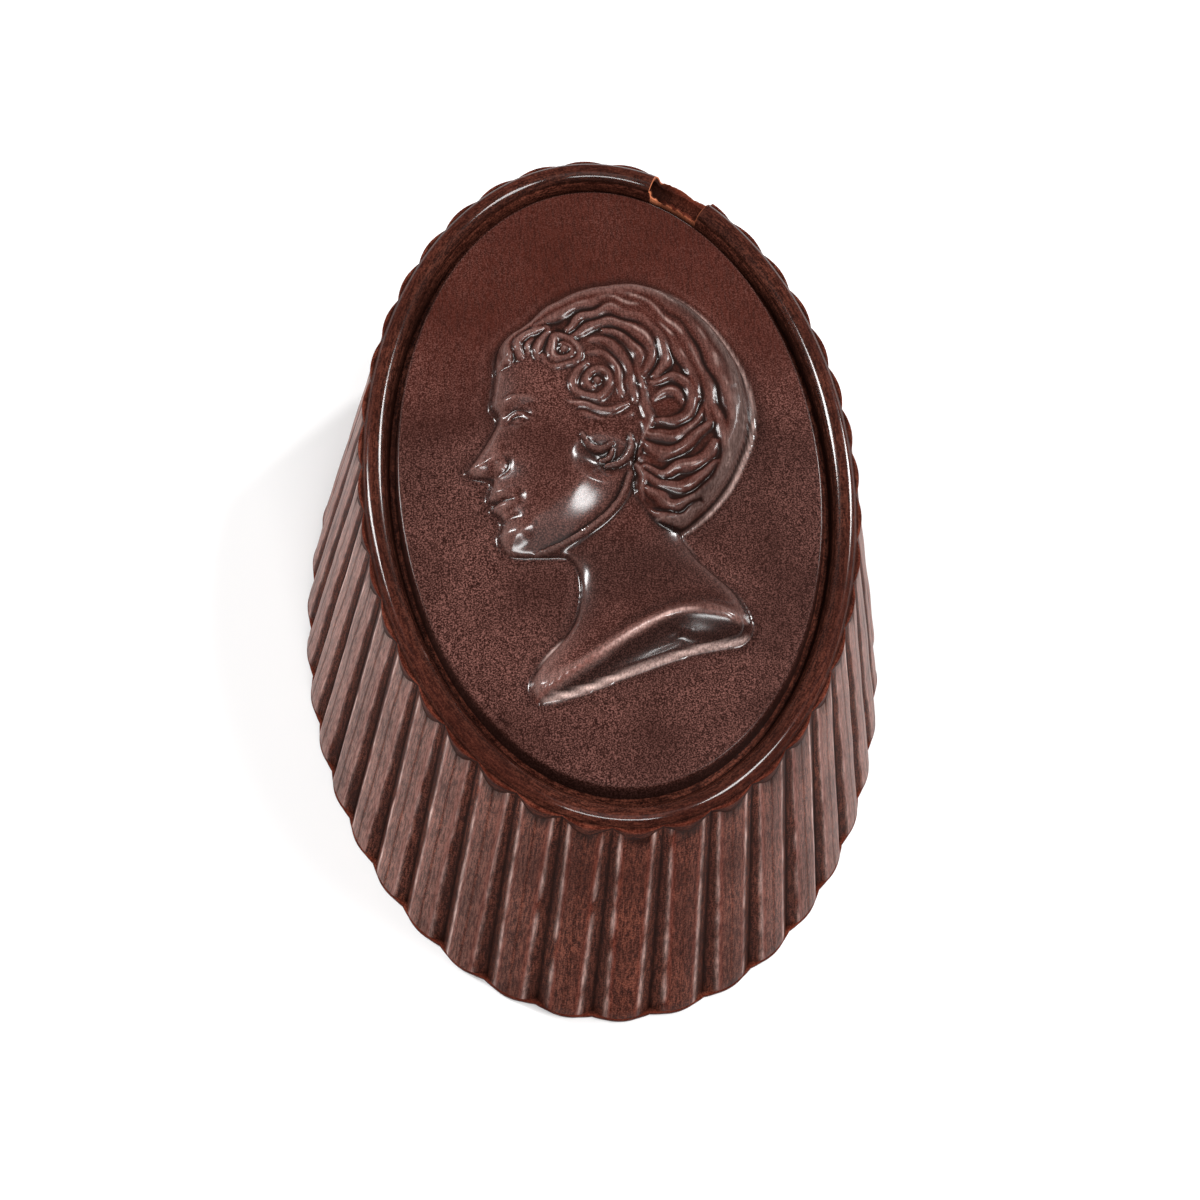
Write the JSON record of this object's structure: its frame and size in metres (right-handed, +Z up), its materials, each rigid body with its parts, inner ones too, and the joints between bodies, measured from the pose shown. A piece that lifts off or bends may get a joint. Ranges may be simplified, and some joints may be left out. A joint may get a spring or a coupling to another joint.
{
  "type": "chocolate praline",
  "caption": "Oval moulded chocolate praline: fluted flared body, scalloped beaded rim with a chip, domed medallion with a cameo head in relief.",
  "frame": {"origin": "centre of the flat foot, on the surface that the praline stands on", "axes": "+Y along the long axis of the oval, towards the crown of the cameo head; -X the way the face looks; +Z up out of the medallion"},
  "size_m": [0.0284, 0.041, 0.0181],
  "materials": {
    "dark_chocolate": "satin dark chocolate with a fine grain, greyer where it catches the light and redder on its edges"
  },
  "bodies": {
    "root": {"praline": "dark_chocolate"}
  },
  "joints": []
}
